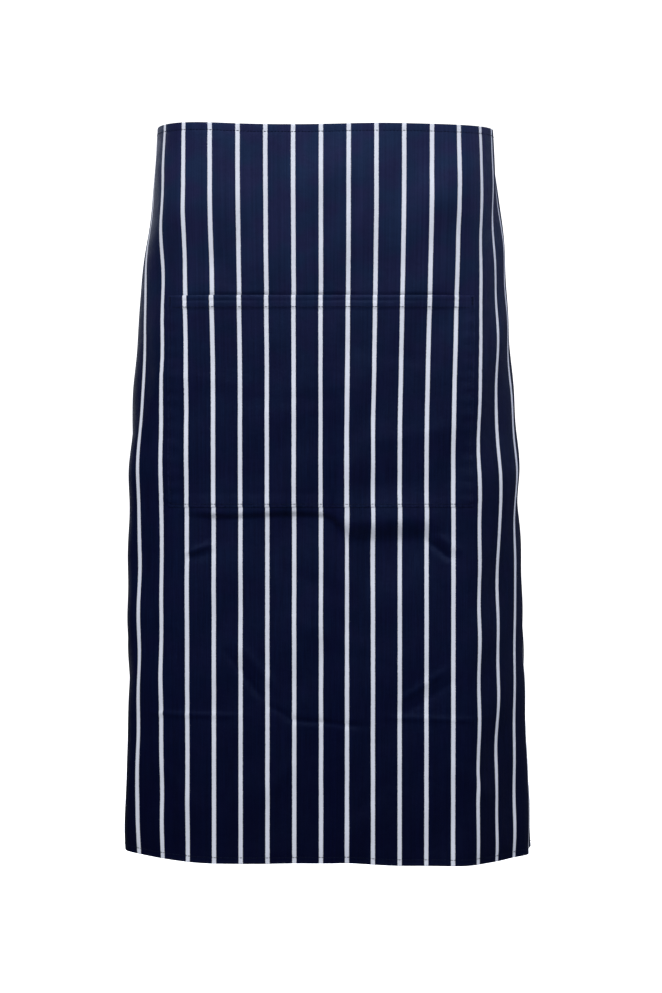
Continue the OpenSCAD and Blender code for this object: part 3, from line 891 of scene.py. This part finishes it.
def knot_shape():
    """The knot is one turn of the tie pulled tight: a short barrel with folds round it."""
    theta = 2 * math.pi * np.arange(KNOT_ROUND) / KNOT_ROUND
    around, along = np.meshgrid(theta, np.linspace(-1, 1, KNOT_LONG))
    swell = np.maximum(1 - np.abs(along) ** 3.2, 0.0) ** 0.42
    crown = swell * (1 + 0.05 * np.cos(2 * around + 0.7))
    folds = 0.55 * np.sin(4.2 * math.pi * along + 0.8 * np.sin(around + 0.5)) * swell
    slant = 1.4 * np.sin(around + 0.9)
    squared = np.abs(np.cos(around)) ** KNOT_BOX + np.abs(np.sin(around)) ** KNOT_BOX
    reach = squared ** (-1 / KNOT_BOX)
    rings = np.stack([
        along * (KNOT_SIZE[0] / 2 - 0.9) + slant * swell,
        reach * np.cos(around) * (crown * (KNOT_SIZE[1] / 2 - 1.0) + folds),
        reach * np.sin(around) * (crown * (KNOT_SIZE[2] / 2 - 1.0) + folds)], -1) + KNOT
    points = np.vstack([rings.reshape(-1, 3), rings[0].mean(0), rings[-1].mean(0)])
    faces = []
    for j in range(KNOT_LONG - 1):
        for i in range(KNOT_ROUND):
            a, b = j * KNOT_ROUND + i, j * KNOT_ROUND + (i + 1) % KNOT_ROUND
            faces.append([a, b, b + KNOT_ROUND, a + KNOT_ROUND])
    first_end = KNOT_ROUND * KNOT_LONG
    last_ring = first_end - KNOT_ROUND
    for i in range(KNOT_ROUND):
        k = (i + 1) % KNOT_ROUND
        faces.append([first_end, k, i])
        faces.append([first_end + 1, last_ring + i, last_ring + k])
    flat = np.stack([along * 13, around * 12], -1).reshape(-1, 2)
    return points, faces, np.vstack([flat, [[-13, 0], [13, 0]]])


knot_points, knot_faces, knot_flat = knot_shape()
knot = piece("bow_knot", knot_points, knot_faces, knot_flat, np.full(len(knot_points), 0.08),
             tie_look, "tie_cloth", "apron")
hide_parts("bow_knot")

LOOP_L = 92.0
LOOP_FAT = 17.0
LOOP_TILT = math.radians(12)
LOOP_STAND = math.radians(8)
LOOP_RISE = 4.0
LOOP_FROM = 24.0
LOOP_INTO = 7.0


def loop_strip(side):
    """A bow loop: a strip that leaves the knot, turns round and comes back to it."""
    t = np.radians(np.linspace(LOOP_FROM, 360 - LOOP_FROM, 81))
    line = np.stack([LOOP_L / 2 * (1 - np.cos(t)),
                     LOOP_FAT * np.sin(t) * np.sin(t / 2) * 0.65], -1)
    across = TIE_ACROSS
    far = smooth((line[:, 0] - line[0, 0]) / 46)[:, None]
    half = TIE_W / 2 * mix(0.5, 1.0, far)
    start = KNOT_SIZE[0] / 2 + TIE_W / 2 * math.sin(LOOP_TILT) + 1.4 - LOOP_INTO
    reach = LOOP_L - LOOP_FROM / 5
    x = (line[:, 0] - line[0, 0])[:, None] * (reach + LOOP_INTO) / reach + start + 0 * across
    turned = np.sign(np.sin(t))[:, None]
    pleat = 1.3 * (1 - far) * np.cos(2.6 * math.pi * across)
    soft = 1.4 * far * np.sin(x / 13 + 1.2 * across + 0.6) * turned
    y = line[:, 1:2] * (1 + 0.10 * across) + pleat + 0.5 * soft
    z = across * half + 1.2 * far * np.sin(x / 21) + 0.5 * far * across * turned
    x = x + 0.8 * far * np.sin(2.1 * across + 0.4)
    x, z = (x * math.cos(LOOP_TILT) + z * math.sin(LOOP_TILT),
            -x * math.sin(LOOP_TILT) + z * math.cos(LOOP_TILT))
    x, y = (x * math.cos(LOOP_STAND) - y * math.sin(LOOP_STAND),
            x * math.sin(LOOP_STAND) + y * math.cos(LOOP_STAND))
    middle = np.stack([side * x, y, z + LOOP_RISE], -1) + KNOT
    run = np.concatenate([[0], np.cumsum(np.hypot(*np.diff(line, axis=0).T))])
    flat = np.stack([across * TIE_W / 2 + 0 * run[:, None], run[:, None] + 0 * across], -1)
    if side < 0:
        middle, flat = middle[:, ::-1], flat[:, ::-1]
    return middle, flat, selvedge_wear(flat[..., 0] / (TIE_W / 2)), float(run[-1])


for name, side in (("left", -1), ("right", 1)):
    middle, flat, worn, length = loop_strip(side)
    loop = sheet_piece("bow_loop_" + name, middle, flat, TIE_T, TIE_RIM, tie_look,
                       "tie_cloth", "apron", worn)
    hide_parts("bow_loop_" + name)

TAIL_L = 300.0
TAIL_X = 8.0
TAIL_SPLAY = math.radians(10)
TAIL_NECK = 5.0
TAIL_FLARE = 32.0
TAIL_SLANT = 10.0
TAIL_UP = 9.0
TAIL_ROWS = 110
TAIL_TOP = KNOT[2] - KNOT_SIZE[2] / 2 - 1


def tail_surface(side):
    """The surface of one tail: across and down its strip, and out of it."""
    def surface(a, b, d=0.0):
        a, b, d = np.broadcast_arrays(*(np.asarray(x, float) for x in (a, b, d)))
        gather = 1 - smooth((b + 2) / TAIL_FLARE)
        half = mix(1.0, TAIL_NECK * 2 / TIE_W, gather)
        free = smooth(b / 90)
        wave = free * (2.4 * np.sin(b / 34 + (0.5 if side > 0 else 2.2))
                       + 0.9 * np.sin(b / 15 + a / 6))
        curl = 0.012 * a * a * free * np.sin(b / 55 + 1.0)
        pleat = 1.1 * gather * np.cos(2.6 * math.pi * a / (TIE_W / 2))
        twist = 0.10 * free * np.sin(b / 70 + side)
        x = a * half
        y = wave + curl + pleat + d + x * twist
        x, z = (x * math.cos(TAIL_SPLAY) + b * math.sin(TAIL_SPLAY),
                x * math.sin(TAIL_SPLAY) - b * math.cos(TAIL_SPLAY))
        return np.stack([KNOT[0] + side * (TAIL_X + x), KNOT[1] + y, TAIL_TOP + z], -1)
    return surface


for name, side in (("left", -1), ("right", 1)):
    surface = tail_surface(side)
    share = np.linspace(0, 1, TAIL_ROWS + 1)[:, None]
    end = TAIL_L - TAIL_SLANT / 2 + TAIL_SLANT / 2 * TIE_ACROSS
    down = -TAIL_UP + share * (end + TAIL_UP)[None, :]
    wide = np.broadcast_to(TIE_ACROSS * TIE_W / 2, down.shape)
    middle = surface(wide, down)
    flat = np.stack([wide, down], -1)
    if side > 0:
        middle, flat = middle[:, ::-1], flat[:, ::-1]
    worn = (selvedge_wear(flat[..., 0] / (TIE_W / 2))
            + 0.5 * np.exp(-np.abs(share - 1) * TAIL_L / 2))
    tail = sheet_piece("tie_tail_" + name, middle, flat, TIE_T, TIE_RIM, tie_look,
                       "tie_cloth", None, worn)
    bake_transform(tail)
    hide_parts("tie_tail_" + name)
    cut = TAIL_L - TAIL_SLANT / 2 - 8
    reach = TIE_W / 2 - 1.2
    lean = TAIL_SLANT / TIE_W
    rows = stitch_row(surface, (-reach, cut - reach * lean), (reach, cut + reach * lean),
                      SMALL_PITCH, ((1, TIE_T / 2), (-1, TIE_T / 2)))
    stitch_piece("tail_end_stitching_" + name, rows, thread, name + "_tail",
                 "tail_end_stitching_" + name)

# ---------------------------------------------------------------- the label
LABEL_U, LABEL_W, LABEL_TOP, LABEL_H = 40.0, 35.0, 11.0, 50.0
LABEL_T = 0.35
U, V = np.meshgrid(steps(LABEL_U, LABEL_U + LABEL_W, 1.75),
                   steps(LABEL_TOP, LABEL_TOP + LABEL_H, 2))
hang = smooth((V - LABEL_TOP - 6) / 40)
label_d = -FACE - 0.45 - hang * (2.2 + 1.6 * np.sin(U / 9.0) * hang)
label = sheet_piece("care_label", at(U, V, label_d)[:, ::-1],
                    np.stack([U, V], -1)[:, ::-1], LABEL_T, 3, label_cloth, "label_cloth",
                    "apron", 0 * U)
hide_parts("care_label")
stitch_piece("care_label_stitching",
             stitch_row(at, (LABEL_U + 2, LABEL_TOP + 2), (LABEL_U + LABEL_W - 2,
                                                          LABEL_TOP + 2), 2.6,
                        ((-1, FACE + 0.6),)), thread, "apron", "care_label_stitching")


# ---------------------------------------------------------------- studio
STUDIO_FLOOR = -1020.0
STUDIO_RADIUS = 9000.0
STUDIO_BEND = 2500.0
STUDIO_HEIGHT = 8000.0
STUDIO_SIDES = 96
FLOOR_RINGS = 13
BEND_RINGS = 16
GLOW_FROM = 500.0
GLOW_TO = 3200.0
GLOW_NEAR = 0.72
GLOW_FAR = 0.95


def studio_look():
    """Matt white, glowing more the further it is from the middle of the floor."""
    shade = Shade("studio_white")
    x, y = shade.flat()
    colour = shade.blend(shade.ramp(shade.noise(x, y, 0.004), 0.3, 0.7),
                         (0.90, 0.90, 0.91, 1), (0.92, 0.92, 0.93, 1))
    away = shade.math("SQRT", shade.math("ADD", shade.math("MULTIPLY", x, x),
                                         shade.math("MULTIPLY", y, y)))
    shade.set(Base_Color=colour, Roughness=0.95, Specular_IOR_Level=0.1,
              Emission_Color=(1.0, 1.0, 1.0, 1),
              Emission_Strength=shade.ramp(away, GLOW_FROM, GLOW_TO, GLOW_NEAR, GLOW_FAR))
    return shade.material


def studio():
    """A round white floor that curves up into a white wall all round."""
    floor_r = STUDIO_RADIUS - STUDIO_BEND
    profile = [(r, STUDIO_FLOOR) for r in np.linspace(0, floor_r, FLOOR_RINGS + 1)[1:]]
    profile += [(floor_r + STUDIO_BEND * math.sin(a),
                 STUDIO_FLOOR + STUDIO_BEND * (1 - math.cos(a)))
                for a in np.linspace(0, math.pi / 2, BEND_RINGS + 1)[1:]]
    profile.append((STUDIO_RADIUS, STUDIO_HEIGHT))
    around = 2 * math.pi * np.arange(STUDIO_SIDES) / STUDIO_SIDES
    points = [(r * math.cos(a), r * math.sin(a), z) for r, z in profile for a in around]
    faces = [list(range(STUDIO_SIDES))]
    for k in range(len(profile) - 1):
        for i in range(STUDIO_SIDES):
            j = (i + 1) % STUDIO_SIDES
            low, high = k * STUDIO_SIDES, (k + 1) * STUDIO_SIDES
            faces.append([low + i, high + i, high + j, low + j])
    mesh = bpy.data.meshes.new("backdrop")
    mesh.from_pydata((np.array(points) * MM).tolist(), [], faces)
    corner = np.zeros(len(mesh.loops), np.int32)
    mesh.loops.foreach_get("vertex_index", corner)
    mesh.uv_layers.new(name="flat").data.foreach_set(
        "uv", np.array(points, np.float32)[corner, :2].ravel())
    mesh.shade_smooth()
    mesh.materials.append(studio_look())
    backdrop = bpy.data.objects.new("backdrop", mesh)
    bpy.context.scene.collection.objects.link(backdrop)
    # The cloth is lit by the lamps and the world alone, however large the backdrop is
    backdrop.visible_diffuse = False
    backdrop.visible_glossy = False


WORLD_COLOUR = (0.97, 0.98, 1.0, 1)
WORLD_LIGHT = 0.44
GLOSS_LIGHT = 0.04


def world_light():
    """White to the camera, soft light on the cloth, and next to nothing in its gloss."""
    world = bpy.data.worlds.new("studio_world")
    world.use_nodes = True
    tree = world.node_tree
    background = tree.nodes["Background"]
    background.inputs[0].default_value = WORLD_COLOUR
    path = tree.nodes.new("ShaderNodeLightPath")
    soft = tree.nodes.new("ShaderNodeMapRange")
    soft.inputs["To Min"].default_value = GLOSS_LIGHT
    soft.inputs["To Max"].default_value = WORLD_LIGHT
    brightness = tree.nodes.new("ShaderNodeMath")
    brightness.operation = "MAXIMUM"
    tree.links.new(path.outputs["Is Diffuse Ray"], soft.inputs["Value"])
    tree.links.new(path.outputs["Is Camera Ray"], brightness.inputs[0])
    tree.links.new(soft.outputs[0], brightness.inputs[1])
    tree.links.new(brightness.outputs[0], background.inputs[1])
    bpy.context.scene.world = world


KEY_TINT = (1.0, 1.0, 1.0)
REAR_TINT = (0.80, 0.86, 1.0)
SIDE_TINT = (0.60, 0.68, 1.0)
# Each lamp: its name, its place, aim and size in metres, its watts and its tint
LAMPS = (
    ("key", (-0.5, -1.85, 1.75), (0, 0, -0.15), (1.3, 0.9), 66, KEY_TINT),
    ("fill", (2.1, -2.1, 0.9), (0, 0, -0.2), (1.6, 1.6), 11, KEY_TINT),
    ("rear", (1.2, 3.0, 1.8), (0, 0, -0.3), (2.0, 1.6), 52, REAR_TINT),
    ("side", (2.6, 0.9, 0.6), (0, 0, -0.1), (1.2, 1.6), 18, SIDE_TINT),
    ("rear_fill", (-2.0, 2.9, 0.6), (0, 0, -0.35), (1.8, 1.8), 26, REAR_TINT),
)


def lamp(name, place, aim, size, power, tint):
    data = bpy.data.lights.new(name, "AREA")
    data.shape = "RECTANGLE"
    data.size, data.size_y = size
    data.energy = power
    data.color = tint
    obj = bpy.data.objects.new(name, data)
    obj.location = place
    obj.rotation_euler = (Vector(aim) - Vector(place)).to_track_quat("-Z", "Y").to_euler()
    obj.visible_camera = False
    bpy.context.scene.collection.objects.link(obj)


CAMERA_PLACE = (0.0095, -2.90, -0.2509)
CAMERA_DOWN = 2.03
CAMERA_LENS = 107.3
SENSOR_WIDTH = 36.0


def camera():
    """Straight at the front, looking down by a couple of degrees."""
    data = bpy.data.cameras.new("camera")
    data.lens = CAMERA_LENS
    data.sensor_width = SENSOR_WIDTH
    obj = bpy.data.objects.new("camera", data)
    obj.location = CAMERA_PLACE
    obj.rotation_euler = (math.radians(90 - CAMERA_DOWN), 0, 0)
    bpy.context.scene.collection.objects.link(obj)
    bpy.context.scene.camera = obj


studio()
world_light()
for settings in LAMPS:
    lamp(*settings)
camera()
bpy.context.scene.view_settings.view_transform = "Standard"
